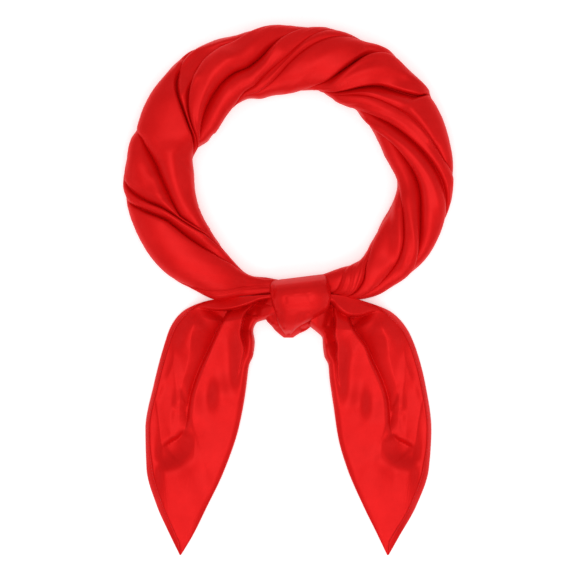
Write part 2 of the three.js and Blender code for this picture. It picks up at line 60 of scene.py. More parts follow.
# A curve through points that never overshoots: Hermite pieces whose slopes are the harmonic mean of the
# neighbouring secants, and straight on past both ends.
def smoothCurve(xs, ys, at):
    xs, ys, at = np.asarray(xs, float), np.asarray(ys, float), np.asarray(at, float)
    secants = np.diff(ys) / np.diff(xs)
    before, after = secants[:-1], secants[1:]
    same = before * after > 0
    inner = np.zeros(len(xs) - 2)
    inner[same] = 2 * before[same] * after[same] / (before + after)[same]
    slopes = np.concatenate(([secants[0]], inner, [secants[-1]]))
    i = np.clip(np.searchsorted(xs, at, side="right") - 1, 0, len(xs) - 2)
    span = xs[i + 1] - xs[i]
    t = np.clip((at - xs[i]) / span, 0, 1)
    level = (2 * t**3 - 3 * t**2 + 1) * ys[i] + (3 * t**2 - 2 * t**3) * ys[i + 1]
    level += span * ((t**3 - 2 * t**2 + t) * slopes[i] + (t**3 - t**2) * slopes[i + 1])
    return level + np.minimum(at - xs[0], 0) * slopes[0] + np.maximum(at - xs[-1], 0) * slopes[-1]


# Noise from -1 to 1: random numbers on a lattice, blended between its points with 3t^2 - 2t^3.
def latticeNoise(x, y, seed):
    size = 128
    lattice = np.random.default_rng(seed).uniform(-1, 1, (size, size))
    i, j = np.floor(x).astype(int), np.floor(y).astype(int)
    tx, ty = smoothStep(0, 1, x - i), smoothStep(0, 1, y - j)
    low = mix(lattice[i % size, j % size], lattice[(i + 1) % size, j % size], tx)
    high = mix(lattice[i % size, (j + 1) % size], lattice[(i + 1) % size, (j + 1) % size], tx)
    return mix(low, high, ty)


# Points along a Catmull-Rom spline through a few points, steps to each stretch.
def splinePoints(points, steps=8):
    p = np.asarray(points, float)
    p = np.vstack((2 * p[0] - p[1], p, 2 * p[-1] - p[-2]))
    t = np.arange(steps)[:, None] / steps
    parts = []
    for k in range(1, len(p) - 2):
        a, b, c, d = p[k - 1], p[k], p[k + 1], p[k + 2]
        parts.append(0.5 * (2 * b + (c - a) * t + (2 * a - 5 * b + 4 * c - d) * t**2
                            + (3 * b - a - 3 * c + d) * t**3))
    return np.vstack(parts + [p[-2:-1]])


# The distance from each place (x, y) to a line of points, the side it lies on and the share along the line.
def nearLine(line, x, y):
    best = np.full(x.shape, np.inf)
    side = np.ones(x.shape)
    along = np.zeros(x.shape)
    count = len(line) - 1
    for k in range(count):
        start, step = line[k], line[k + 1] - line[k]
        px, py = x - start[0], y - start[1]
        t = np.clip((px * step[0] + py * step[1]) / (step @ step), 0, 1)
        distance = np.hypot(px - t * step[0], py - t * step[1])
        closer = distance < best
        best = np.where(closer, distance, best)
        side = np.where(closer, np.sign(step[0] * py - step[1] * px), side)
        along = np.where(closer, (k + t) / count, along)
    return best, side, along


# The height of folds drawn as lines; a size given as a list changes evenly along the line. A step's upper
# side is at rise and dies away over reach, behind a lip that is a quarter circle: -drop + (rise + drop)
# sqrt(1 - (1 - x)^2), x lips from the line. Its lower side is -drop (1 - distance / under)^1.25. A swell is
# rise exp(-s^2), and a slope, up to the left of the line, is rise s / (1 + s^2)^1.5, where s is the distance
# over reach. All fade at the line's ends, and those drawn below the first fold stop at its line.
def foldHeights(folds, x, y, unit, scaleX, scaleY):
    total = np.zeros(x.shape)
    firstSide = None
    for fold in folds:
        line = splinePoints(np.array(fold["line"]) * (scaleX, scaleY))
        distance, side, along = nearLine(line, x, y)

        def size(name):
            values = np.atleast_1d(fold[name])
            return np.interp(along, np.linspace(0, 1, len(values)), values) * unit

        fadeIn, fadeOut = fold.get("fade", (0.15, 0.2))
        fade = smoothStep(0, fadeIn, along) if fadeIn else 1
        fade = fade * (smoothStep(0, fadeOut, 1 - along) if fadeOut else 1)
        if fold.get("below"):
            fade = fade * (firstSide != folds[0]["over"])
        elif firstSide is None:
            firstSide = side
        s = distance / size("reach")
        if fold.get("slope"):
            total += fade * size("rise") * (side * s / (1 + s**2) ** 1.5)
            continue
        if "over" not in fold:
            total += fade * size("rise") * np.exp(-s**2)
            continue
        left = (1 - np.clip(distance / size("under"), 0, 1)) ** 1.25
        edge = np.sqrt(1 - (1 - np.clip(distance / size("lip"), 0, 1)) ** 2)
        upper = mix(-size("drop"), size("rise"), edge) * np.exp(-s**2)
        total += fade * np.where(side == fold["over"], upper, -size("drop") * left)
    return total


# A closed mesh from a grid of points: rows are rings or strips, columns close on themselves, and a fan
# covers each end. The UV map holds metres along and across the cloth.
def closedMesh(name, grid, uv):
    rows, columns = grid.shape[:2]
    middles = np.stack((grid[0].mean(axis=0), grid[-1].mean(axis=0)))
    points = np.vstack((grid.reshape(-1, 3), middles))
    row, column = np.meshgrid(np.arange(rows - 1), np.arange(columns), indexing="ij")
    after = (column + 1) % columns
    quads = np.stack((row * columns + column, row * columns + after,
                      (row + 1) * columns + after, (row + 1) * columns + column), axis=-1).reshape(-1, 4)
    ring = np.arange(columns)
    nextRing = (ring + 1) % columns
    first, last = len(points) - 2, len(points) - 1
    base = (rows - 1) * columns
    fans = np.vstack((np.stack((np.full(columns, first), nextRing, ring), axis=-1),
                      np.stack((np.full(columns, last), base + ring, base + nextRing), axis=-1)))
    a, b, c = points[quads[:, 0]], points[quads[:, 1]], points[quads[:, 2]]
    d = points[quads[:, 3]]
    volume = np.einsum("ij,ij->", a, np.cross(b, c)) + np.einsum("ij,ij->", a, np.cross(c, d))
    if volume < 0:
        quads, fans = quads[:, ::-1], fans[:, ::-1]
    across = np.concatenate((uv[:, :, 1], uv[:, -1:, 1] + (uv[:, -1:, 1] - uv[:, -2:-1, 1])), axis=1)
    along = np.concatenate((uv[:, :, 0], uv[:, :1, 0]), axis=1)
    corner = np.stack((row, row, row + 1, row + 1), axis=-1).reshape(-1, 4)
    side = np.stack((column, column + 1, column + 1, column), axis=-1).reshape(-1, 4)
    if volume < 0:
        corner, side = corner[:, ::-1], side[:, ::-1]
    quadUv = np.stack((along[corner, side], across[corner, side]), axis=-1).reshape(-1, 2)
    mesh = bpy.data.meshes.new(name)
    mesh.vertices.add(len(points))
    mesh.vertices.foreach_set("co", points.ravel())
    loops = np.concatenate((quads.ravel(), fans.ravel()))
    mesh.loops.add(len(loops))
    mesh.loops.foreach_set("vertex_index", loops)
    starts = np.concatenate((np.arange(len(quads)) * 4, len(quads) * 4 + np.arange(len(fans)) * 3))
    mesh.polygons.add(len(starts))
    mesh.polygons.foreach_set("loop_start", starts)
    mesh.polygons.foreach_set("use_smooth", np.ones(len(starts), bool))
    layer = mesh.uv_layers.new(name="cloth")
    layer.data.foreach_set("uv", np.concatenate((quadUv.ravel(), np.zeros(len(fans) * 6))))
    mesh.update(calc_edges=True)
    mesh.validate()
    piece = bpy.data.objects.new(name, mesh)
    bpy.context.scene.collection.objects.link(piece)
    return piece


# The roll. Station is degrees round the ring from the knot, clockwise from above. Middle is a share of
# ringRadius, width of rollWidth, height and lift of rollHeight.
roll = {
    "ringRadius": 82.5 * mm,
    "rollWidth": 43 * mm,
    "rollHeight": 25 * mm,
    "foldDepth": 6.6 * mm,     # step where one fold lies over the next
    "foldLip": 1.7 * mm,       # rounded edge of the upper fold
    "foldDive": 14 * mm,       # width over which the lower fold goes under
    "overhang": 1.1 * mm,      # how far a lip leans over the fold below
    "flankDepth": 0.3,         # share of a step that is left at the roll's outline
    "domeShare": 0.05,         # bulge of each fold over its width
    "bellyShare": 0.42,        # height of the roll's widest place
    "pressShare": 1.28,        # above 1 the floor presses the roll's under side flat
    "lipSpan": 0.55,           # the most of a fold that its lip takes
    "diveSpan": 0.85,          # the most of a fold that its dive takes
    "square": 0.62,            # below 1 the roll's top is flatter than an oval's
    "lineGap": 8,              # least angle between two edges, in degrees
    "clothPerDegree": 0.3 * mm,  # cloth round the roll, for the weave's map
    "edges": 6,                # lines that wind round the roll, with a lobe of cloth below each
    "stations": 560,
    "perLobe": 25,
}
rollSections = np.array([      # station, middle, width, height, lift
    (2, 0.92, 0.2, 0.46, 0.3), (10, 0.93, 0.26, 0.52, 0.24), (20, 0.966, 0.335, 0.64, 0.12),
    (30, 1.006, 0.63, 0.82, 0.03), (40, 1.006, 0.775, 0.92, 0), (50, 1.024, 0.91, 0.98, 0),
    (60, 1.033, 0.95, 1, 0), (74, 1.031, 1.0, 1, 0), (88, 1.033, 1.085, 1, 0), (99, 1.013, 0.976, 1, 0),
    (111, 0.96, 1.09, 1, 0), (121, 0.952, 1.105, 1, 0), (140, 0.957, 1.13, 1, 0),
    (150, 0.936, 1.075, 1, 0), (160, 0.888, 1.06, 1, 0), (180, 0.878, 1.025, 1, 0),
    (200, 0.919, 0.962, 0.98, 0), (210, 0.924, 0.985, 0.98, 0), (220, 0.958, 1.08, 1, 0),
    (230, 0.974, 1.0, 1, 0), (240, 0.991, 1.05, 1, 0), (260, 1.022, 0.98, 1, 0),
    (281, 1.082, 0.826, 0.96, 0), (300, 1.062, 0.85, 0.95, 0), (310, 1.062, 0.786, 0.9, 0),
    (320, 1.06, 0.61, 0.84, 0.01), (330, 1.027, 0.56, 0.76, 0.05), (340, 0.962, 0.36, 0.6, 0.14),
    (348, 0.935, 0.27, 0.5, 0.24),
])
# Six edges wind round the roll, and each row is one crossing over its top: the line, its turn, the stations
# where it is at the inner edge, 45, 90 and 135 degrees over and at the outer edge, the step's depth at
# 30, 90 and 150 degrees, whether the outer fold lies on top there low and high, and how wide the upper
# fold's lip and the lower fold's dive are.
foldEdges = [
    (3, -1, -90, -50, 10, 28, 40, 0, 0, 0, 1, 1, 1, 1),
    (4, -1, -95, -55, 4, 24, 38, 0, 0, 0, 1, 1, 1, 1),
    (5, -1, -100, -60, -2, 20, 36, 0, 0, 0, 1, 1, 1, 1),
    (0, 0, 20, 38, 66.5, 75, 80, 0.8, 1, 0.8, 1, 1, 0.9, 0.7),
    (1, 0, 30, 56, 72.5, 80, 87, 0.6, 0.8, 0.8, 1, 1, 0.9, 1.2),
    (2, 0, 40, 52, 91, 101.5, 106, 0.5, 0.9, 0.8, 0.4, 0.15, 3, 1.2),
    (3, 0, 98, 107, 119, 128, 136, 0.8, 1.2, 1.1, 1, 1, 0.8, 1.4),
    (4, 0, 100, 109, 124.5, 152, 172, 0.2, 0.8, 1.1, 0, 0, 0.9, 1.4),
    (5, 0, 94, 114, 163, 179, 192, 1.2, 1.2, 0.6, 0.9, 0, 0.9, 1.5),
    (0, 1, 137, 156, 178, 190, 200, 0.5, 0.2, 0.1, 1, 1, 1.5, 0.8),
    (1, 1, 138, 168, 183, 197, 210, 0.15, 0.2, 0.15, 0.5, 0.5, 4, 1),
    (2, 1, 190, 202.5, 209.5, 215.5, 229, 0.6, 0.9, 0.9, 1, 0, 0.9, 0.9),
    (3, 1, 200, 214.5, 226.5, 240, 242, 0.8, 1.4, 1.1, 1, 1, 0.8, 1.5),
    (4, 1, 204, 219, 242, 265, 274, 0.2, 0.4, 0.7, 0.5, 0.5, 4, 1.2),
    (5, 1, 225, 238.5, 258, 275, 286, 0.7, 0.9, 0.9, 1, 1, 0.9, 1.2),
    (0, 2, 238, 255.5, 286, 303, 316, 0.7, 1.1, 1.1, 1, 0, 0.9, 1.3),
    (1, 2, 276, 287, 302, 324, 336, 0.4, 0.6, 0.7, 0.6, 0.1, 2, 1.2),
    (2, 2, 306, 320, 325.5, 333, 339, 0.5, 0.7, 0.6, 1, 1, 0.9, 0.5),
    (3, 2, 315, 323, 329, 335, 342, 0, 0, 0, 1, 1, 0.9, 0.5),
    (4, 2, 322, 328, 332, 336.5, 344, 0, 0, 0, 0.5, 0.5, 1, 1),
    (5, 2, 327, 332, 336, 340, 346, 0, 0, 0, 0.5, 0.5, 1, 1),
]
# Soft ridges and hollows: from a station and angle to another, height over foldDepth, reach over foldDive.
rollDents = [
    (98, 66, 54, 32, 0.3, 0.55), (94, 40, 66, 48, -0.25, 0.5), (86, 90, 72, 84, 0.2, 0.35),
    (92, 165, 83, 112, -0.25, 0.5), (150, 108, 114, 54, 0.3, 0.6), (174, 107, 120, 17, 0.3, 0.6),
    (125, 104, 135, 106, 0.2, 0.2), (132, 142, 150, 150, -0.7, 0.8), (228, 96, 231, 125, -0.3, 0.5),
    (244, 105, 257, 116, 0.3, 0.3),
    (216, 26, 272, 155, 0.25, 0.5), (245, 38, 282, 132, 0.2, 0.4), (285, 48, 307, 130, 0.25, 0.6),
    (294, 30, 311, 80, -0.35, 0.7), (290, 39, 309, 110, 0.25, 0.3), (20, 69, 13, 46, -0.3, 0.4),
]


# Each line's angle counted on from turn to turn, its depth, upper side, lip and dive, all by station.
def windingLines(stations):
    lines = []
    for line in range(roll["edges"]):
        rows = [row for row in foldEdges if row[0] == line]
        path = [(rows[0][2] - 75, 360 * rows[0][1] - 180)]
        depths, overs, lips, dives = [], [], [], []
        for row in rows:
            base = 360 * row[1]
            path += [(row[2 + k], base + 45 * k) for k in range(5)]
            depths += [(base + 30 + 60 * k, row[7 + k]) for k in range(3)]
            overs += [(base + 30, row[10]), (base + 150, row[11])]
            lips += [(base, row[12]), (base + 180, row[12])]
            dives += [(base, row[13]), (base + 180, row[13])]
        path.append((rows[-1][6] + 64, 360 * rows[-1][1] + 360))
        lines.append({"angle": smoothCurve(*zip(*path), stations),
                      "depth": depths, "over": overs, "lip": lips, "dive": dives})
    angles = np.array([line["angle"] for line in lines])
    for k in range(1, roll["edges"]):
        angles[k] = np.minimum(angles[k], angles[k - 1] - roll["lineGap"])
    for k in range(roll["edges"] - 1, 0, -1):
        angles[k] = np.maximum(angles[k], angles[0] - 360 + roll["lineGap"] * (roll["edges"] - k))
    for line, angle in zip(lines, angles):
        line["angle"] = angle
        for name in ("depth", "over", "lip", "dive"):
            xs, ys = zip(*line[name])
            line[name] = smoothCurve(xs, ys, np.clip(angle, xs[0], xs[-1]))
    return lines


# How far a lobe of the roll moves in at the steps along its two lines, and how far their lips lean. A dive is
# depth left^2 and a lip is depth (1 - sqrt(1 - left^2)), where left falls from 1 at the line to 0 at reach.
def stepOffsets(upper, lower, shares, lobe, width):
    offset, lean = np.zeros(lobe.shape), np.zeros(lobe.shape)
    for line, distance, onTop, towards in (
            (upper, shares * lobe, 1 - upper["over"][:, None], 1),
            (lower, (1 - shares) * lobe, lower["over"][:, None], -1)):
        lineTurn = np.radians(line["angle"])[:, None]
        flank = mix(roll["flankDepth"], 1, np.maximum(0, np.sin(lineTurn)))
        depth = line["depth"][:, None] * roll["foldDepth"] * flank * np.minimum(1, width)
        dive, lip = roll["foldDive"] * line["dive"][:, None], roll["foldLip"] * line["lip"][:, None]
        span = mix(roll["diveSpan"], roll["lipSpan"], onTop) * lobe
        left = 1 - np.clip(distance / np.minimum(mix(dive, lip, onTop), span), 0, 1)
        offset -= depth * mix(left**2, 1 - np.sqrt(1 - left**2), onTop)
        lean += towards * onTop * roll["overhang"] * depth / roll["foldDepth"] * 4 * left**2 * (1 - left)
    return offset, lean


# The soft dents, each high exp(-away^2), with away the distance from its line over its reach.
def dentOffsets(station, angle, perStation, perDegree):
    around = np.mod(angle, 360)
    offset = np.zeros(angle.shape)
    for fromStation, fromAngle, toStation, toAngle, high, reach in rollDents:
        sx, sy = (toStation - fromStation) * perStation, (toAngle - fromAngle) * perDegree
        px, py = (station - fromStation) * perStation, (around - fromAngle) * perDegree
        t = np.clip((px * sx + py * sy) / (sx**2 + sy**2), 0, 1)
        away = np.hypot(px - t * sx, py - t * sy) / (reach * roll["foldDive"])
        offset += high * roll["foldDepth"] * np.exp(-away**2)
    return offset


# The roll's ripples: height, degrees of station to a ripple, ripples skipped from lobe to lobe, ripples over
# a lobe, stations to one ripple of slant, and seed.
rollRipples = [
    (0.32 * mm, 22, 9, 4.5, 60, 11),
    (0.128 * mm, 9, 17, 9, 30, 12),
]


# Layers of ripples that run slanting round a lobe of the roll, added up.
def rippleOffsets(k, station, shares):
    total = 0
    for height, long, skipped, over, slant, seed in rollRipples:
        around = k * skipped + shares * over + station / slant
        total = total + height * latticeNoise(station / long, around, seed)
    return total


# The roll's surface: at each station an oval, pressed flat by the floor, z = tall sin|sin|^(square - 1) over
# its belly. Its points move in along the normal at the steps, and out by a low dome, dents and ripples.
def rollGrid():
    stations = np.linspace(rollSections[0, 0], rollSections[-1, 0], roll["stations"])
    middle, width, height, lift = (smoothCurve(rollSections[:, 0], rollSections[:, k], stations)[:, None]
                                   for k in range(1, 5))
    middle, halfWidth = middle * roll["ringRadius"], width * roll["rollWidth"] / 2
    under = lift * roll["rollHeight"]
    height = height * roll["rollHeight"] - under
    belly = under + roll["bellyShare"] * height
    halfUp = (1 - roll["bellyShare"]) * height
    halfDown = roll["pressShare"] * roll["bellyShare"] * height
    lines = windingLines(stations)
    shares = (1 - np.cos(np.pi * np.arange(roll["perLobe"]) / roll["perLobe"])) / 2
    bow = np.sqrt(4 * shares * (1 - shares))
    grids, crossings = [], []
    for k in range(roll["edges"]):
        last = k == roll["edges"] - 1
        upper, lower = lines[k], lines[0 if last else k + 1]
        start = upper["angle"][:, None]
        end = (lower["angle"] - (360 if last else 0))[:, None]
        angle = mix(start, end, shares)
        station = np.broadcast_to(stations[:, None], angle.shape)
        turn = np.radians(angle)
        tall = np.where(np.sin(turn) > 0, halfUp, halfDown)
        perDegree = np.radians(np.hypot(halfWidth * np.sin(turn), halfUp * np.cos(turn)))
        lobe = (start - end) * perDegree
        offset, lean = stepOffsets(upper, lower, shares, lobe, width)
        offset += roll["domeShare"] * np.minimum(lobe, roll["rollWidth"]) * (bow - 0.5)
        offset += dentOffsets(station, angle, np.radians(middle), perDegree)
        offset += bow * np.minimum(1, width) * rippleOffsets(k, station, shares)
        turn = turn + lean / np.maximum(perDegree, 1e-6) * np.pi / 180
        rise = np.sign(np.sin(turn)) * np.abs(np.sin(turn)) ** roll["square"]
        normalOut = -np.cos(turn) * tall * roll["square"]
        normalUp = np.sign(rise) * np.abs(np.sin(turn)) ** (2 - roll["square"]) * halfWidth
        size = np.hypot(normalOut, normalUp)
        radius = middle - halfWidth * np.cos(turn) + normalOut / size * offset
        z = np.maximum(belly + tall * rise + normalUp / size * offset, np.maximum(under, 0))
        heading = np.radians(270 - station)
        grids.append(np.stack((radius * np.cos(heading), radius * np.sin(heading), z), axis=-1))
        crossings.append((lines[0]["angle"][:, None] - angle) * roll["clothPerDegree"])
    grid = np.concatenate(grids, axis=1)
    along = np.broadcast_to((np.radians(stations) * roll["ringRadius"])[:, None], grid.shape[:2])
    return grid, np.stack((along, np.concatenate(crossings, axis=1)), axis=-1)


# The knot's band and inner turns. Down is a share of length from the knot's middle, the sides are shares of
# half the width, top and under are shares of the height, and square below 1 makes the section fuller.
knot = {
    "across": 0.085 * roll["ringRadius"],
    "down": 1.055 * roll["ringRadius"],
    "length": 39 * mm,
    "slant": 0.125,            # rise of the band's top edge over its width
    "ripple": 0.15 * mm,
    "topFrom": (0.1, 0.6),     # creases and ripples start between these heights of the section
    "rows": 120,
    "columns": 200,
}
band = {"name": "knot_band", "width": 39 * mm, "height": 29 * mm, "square": 0.62}
bandSections = np.array([      # down, left, right, top, under
    (-0.455, -0.86, 0.8, 0.42, 0.24), (-0.41, -0.95, 0.88, 0.66, 0.2), (-0.35, -0.98, 0.93, 0.84, 0.16),
    (-0.25, -0.98, 0.99, 0.96, 0.12), (-0.12, -0.95, 1.04, 1, 0.1), (0.04, -0.88, 0.99, 0.97, 0.09),
    (0.14, -0.81, 0.82, 0.92, 0.08), (0.22, -0.77, 0.56, 0.86, 0.08), (0.32, -0.71, 0.16, 0.76, 0.07),
    (0.42, -0.6, -0.14, 0.6, 0.06), (0.52, -0.44, -0.3, 0.34, 0.1),
])
core = {"name": "knot_turns", "width": 41 * mm, "height": 19 * mm, "square": 0.8}
coreSections = np.array([
    (-0.34, -0.7, 0.5, 0.5, 0), (-0.18, -0.98, 0.72, 0.92, 0), (0, -1.14, 0.76, 1, 0),
    (0.16, -1.14, 0.62, 0.94, 0), (0.28, -1.04, 0.5, 0.84, 0), (0.37, -0.88, 0.36, 0.72, 0),
    (0.44, -0.77, 0.2, 0.58, 0), (0.5, -0.645, -0.04, 0.42, 0), (0.56, -0.5, -0.2, 0.2, 0),
])
# Creases of the band, drawn in shares of its half width and of its length.
bandFolds = [
    {"line": [(-0.88, -0.35), (-0.87, -0.22), (-0.85, -0.1)], "rise": -1.5, "reach": 1.4, "fade": (0, 0.5)},
    {"line": [(-1.0, -0.3), (-0.95, -0.13), (-0.83, 0.08), (-0.72, 0.28)], "rise": 0.5, "reach": 1.2},
    {"line": [(-0.66, 0.1), (-0.6, 0.28), (-0.5, 0.43)], "rise": -1.1, "reach": 1.5},
    {"line": [(0.1, 0.12), (-0.02, 0.28), (-0.14, 0.44)], "rise": -0.9, "reach": 1.6},
    {"line": [(0.86, 0.1), (0.68, 0.16), (0.45, 0.2)], "rise": -0.9, "reach": 1.1},
    {"line": [(0.35, 0.13), (0.2, 0.18), (0.05, 0.27)], "rise": -0.5, "reach": 1.5},
    {"line": [(-0.4, 0.5), (-0.34, 0.49), (-0.28, 0.5)], "rise": -2.5, "reach": 1.4, "fade": (0, 0)},
    {"line": [(-0.5, -0.16), (-0.48, -0.1), (-0.47, 0)], "rise": -0.25, "reach": 1.5},
    {"line": [(-0.1, -0.18), (-0.08, -0.1), (-0.08, -0.02)], "rise": -0.25, "reach": 1.5},
    {"line": [(0.3, -0.18), (0.32, -0.12), (0.34, -0.04)], "rise": -0.25, "reach": 1.5},
]
coreFolds = [
    {"line": [(-1.1, -0.05), (-0.95, 0.12), (-0.78, 0.3)], "rise": -0.8, "reach": 1.8},
    {"line": [(-0.9, 0.35), (-0.78, 0.33), (-0.7, 0.4)], "rise": 0.8, "reach": 1.2},
    {"line": [(0.02, 0.42), (0.2, 0.4), (0.32, 0.36)], "rise": -2, "reach": 1.3},
]


# A form of the knot: at each place down its length a squared oval between its sides, its top and its under
# side, x = cos|cos|^(s-1), z = sin|sin|^(s-1), with its creases pressed into the upper half.
def knotGrid(sections, form, folds):
    share = (1 - np.cos(np.pi * np.arange(knot["rows"]) / (knot["rows"] - 1))) / 2
    down = mix(sections[0, 0], sections[-1, 0], share)
    left, right, top, under = (smoothCurve(sections[:, 0], sections[:, k], down)[:, None]
                               for k in range(1, 5))
    left, right = left * form["width"] / 2, right * form["width"] / 2
    top, under = top * form["height"], under * form["height"]
    turn = (2 * np.pi * np.arange(knot["columns"]) / knot["columns"])[None, :]
    across = np.sign(np.cos(turn)) * np.abs(np.cos(turn)) ** form["square"]
    up = np.sign(np.sin(turn)) * np.abs(np.sin(turn)) ** form["square"]
    x = (left + right) / 2 + across * (right - left) / 2
    y = np.broadcast_to((down * knot["length"])[:, None], x.shape)
    z = (top + under) / 2 + up * (top - under) / 2
    dents = foldHeights(folds, x, y, mm, form["width"] / 2, knot["length"])
    ripples = knot["ripple"] * latticeNoise(x / (5 * mm) + 40, y / (8 * mm) + 40, 21)
    z = z + (dents + ripples) * smoothStep(*knot["topFrom"], up)
    slant = knot["slant"] * x * smoothStep(-0.3, 0.5, -down)[:, None]
    grid = np.stack((knot["across"] + x, -knot["down"] - y + slant, np.maximum(z, 0)), axis=-1)
    return grid, np.stack((y, x), axis=-1)


# The tails. Places down them run from 0 at the knot to 1 at the tip, and shares across from 0 at the outer
# edge to 1 at the inner one.
tail = {
    "width": 61 * mm,
    "length": 164 * mm,
    "wall": 0.9 * mm,
    "floorReach": 0.9 * mm,    # the floor bends the cloth within this height
    "knotLift": 13.5 * mm,     # height at the knot, falling off with the distance from it
    "liftReach": 52 * mm,
    "restLift": 6.6 * mm,      # height over the floor of the loose cloth
    "outerRest": 0.4,          # share of it at the outer edge, near the knot
    "outerRestUntil": (0.4, 0.6),  # places down between which that ends
    "outerRestOver": 0.55,     # share of the width over which it grows back to all of it
    "tipRest": 0.35,           # share of it at the tip
    "tipRestFrom": 0.7,
    "innerRoll": 4.5 * mm,     # how far in the inner edge starts to turn down
    "innerFall": (0.8, 0.4),   # how much of its height it falls, near the knot and below
    "innerFallChange": (0.25, 0.4),  # places down between which it changes
    "outerRoll": (3.4 * mm, 5 * mm),  # the same at the outer edge, above and below
    "outerRollChange": (0.66, 0.74),
    "outerFall": 0.8,
    "outerFallFrom": (0.12, 0.3),  # places down between which this fall starts
    "ripple": 0.4 * mm,
    "rippleWide": 12 * mm,
    "rippleLong": 22 * mm,
    "seed": {"left": 31, "right": 32},
    "rows": 250,
    "columns": 140,
}
# The tails' edges from the knot to the tip, across over width and down over length, both from the knot's
# middle: the outer edge, then the inner one.
tailEdges = {
    "left": np.array([
        (0.2, -0.042, 0.24, 0.05), (0.596, -0.031, 0.462, 0.075), (0.936, -0.018, 0.494, 0.107),
        (1.234, 0.024, 0.478, 0.151), (1.376, 0.087, 0.494, 0.202), (1.453, 0.167, 0.537, 0.242),
        (1.559, 0.317, 0.579, 0.357), (1.65, 0.496, 0.652, 0.496), (1.638, 0.655, 0.811, 0.667),
        (1.532, 0.798, 0.99, 0.806), (1.41, 0.901, 1.137, 0.917), (1.284, 0.998, 1.27, 1)]),
    "right": np.array([
        (0.2, -0.045, 0.1, 0.085), (0.484, -0.033, 0.245, 0.136), (0.713, -0.01, 0.25, 0.165),
        (0.97, 0.028, 0.264, 0.206), (1.133, 0.088, 0.307, 0.242), (1.227, 0.157, 0.319, 0.294),
        (1.347, 0.317, 0.364, 0.409), (1.412, 0.496, 0.414, 0.532), (1.385, 0.655, 0.511, 0.655),
        (1.252, 0.802, 0.682, 0.802), (1.07, 0.923, 0.823, 0.909), (0.957, 0.998, 0.94, 1)]),
}
# The folds, drawn on the left tail in the same shares, with sizes in millimetres. Over is the side of a step
# that lies on top: 1 is to the left of the way the line runs.
tailFolds = [
    {"line": [(0.25, -0.025), (0.415, -0.015), (0.521, 0), (0.649, 0.016), (0.777, 0.025), (0.904, 0.026),
              (1.032, 0.018), (1.16, 0.013)],
     "over": -1, "rise": (1.5, 3, 3, 1), "drop": (2.5, 4.6, 4.4, 1.5), "lip": 2, "reach": 16,
     "under": (5, 7, 7, 4), "fade": (0, 0.3)},
    {"line": [(0.70, -0.01), (0.75, 0.02), (0.809, 0.055), (0.862, 0.09), (0.926, 0.14), (1.0, 0.2),
              (1.085, 0.27), (1.16, 0.353), (1.191, 0.425), (1.213, 0.484), (1.25, 0.53)],
     "over": 1, "rise": (1, 2.4, 2.4, 1.8, 1), "drop": (6, 9.5, 7, 3.6, 2.6, 1.5),
     "lip": (1.8, 2, 2.6, 4, 4.5), "reach": 18, "under": (12, 17, 15, 8, 6, 5), "fade": (0, 0.2),
     "below": True},
    {"line": [(1.04, 0.045), (1.12, 0.075), (1.2, 0.12), (1.26, 0.17), (1.3, 0.22)], "rise": 3.4, "reach": 7,
     "fade": (0.35, 0.5)},
    {"line": [(1.213, 0.49), (1.287, 0.528), (1.372, 0.548), (1.457, 0.571), (1.51, 0.6)],
     "over": -1, "rise": (0.2, 0.5, 0.4, 0.2), "drop": (2.5, 4, 4, 2), "lip": (4.5, 4.5, 5), "reach": 9,
     "under": (7, 14, 17, 17), "fade": (0.2, 0.6)},
    {"line": [(1.06, 0.59), (1.2, 0.608), (1.33, 0.624), (1.44, 0.634), (1.56, 0.637)], "slope": True,
     "rise": 7.4, "reach": 11, "fade": (0.6, 0.25)},
    {"line": [(0.415, -0.03), (0.5, 0.01), (0.575, 0.04), (0.605, 0.08), (0.617, 0.119), (0.585, 0.179),
              (0.628, 0.25), (0.691, 0.329)],
     "over": -1, "rise": (1, 1.5, 1.2, 0.6, 0.2), "drop": (3, 8.5, 8, 3, 1), "lip": 1.6, "reach": 5,
     "under": (10, 14, 14, 8, 6), "fade": (0, 0.3), "below": True},
    {"line": [(0.7, 0.07), (0.681, 0.2), (0.685, 0.3), (0.7, 0.4)], "slope": True, "rise": 6.4, "reach": 8.5,
     "fade": (0.3, 0.45)},
    {"line": [(0.885, 0.23), (0.915, 0.317), (0.935, 0.39), (0.955, 0.47)], "slope": True, "rise": 5.4,
     "reach": 8.5, "fade": (0.5, 0.5)},
    {"line": [(1.38, 0.41), (1.29, 0.41), (1.2, 0.4)], "slope": True, "rise": 2.4, "reach": 6,
     "fade": (0.4, 0.2)},
    {"line": [(1.27, 0.625), (1.12, 0.64), (0.96, 0.62)], "slope": True, "rise": 1.3, "reach": 9,
     "fade": (0.5, 0.5)},
    {"line": [(1.47, 0.3), (1.36, 0.31), (1.22, 0.3)], "slope": True, "rise": 1.5, "reach": 9,
     "fade": (0.3, 0.3)},
    {"line": [(0.44, 0.0), (0.457, 0.03), (0.47, 0.05)], "rise": -1.8, "reach": 2.2},
]


# The outer and inner edge of a tail at each place down it, in metres across and down.
def tailEdge(side, downs):
    edges = tailEdges[side]
    places = np.linspace(0, 1, len(edges))
    outA, outD, inA, inD = (smoothCurve(places, edges[:, k], downs)[:, None] for k in range(4))
    return outA * tail["width"], outD * tail["length"], inA * tail["width"], inD * tail["length"]


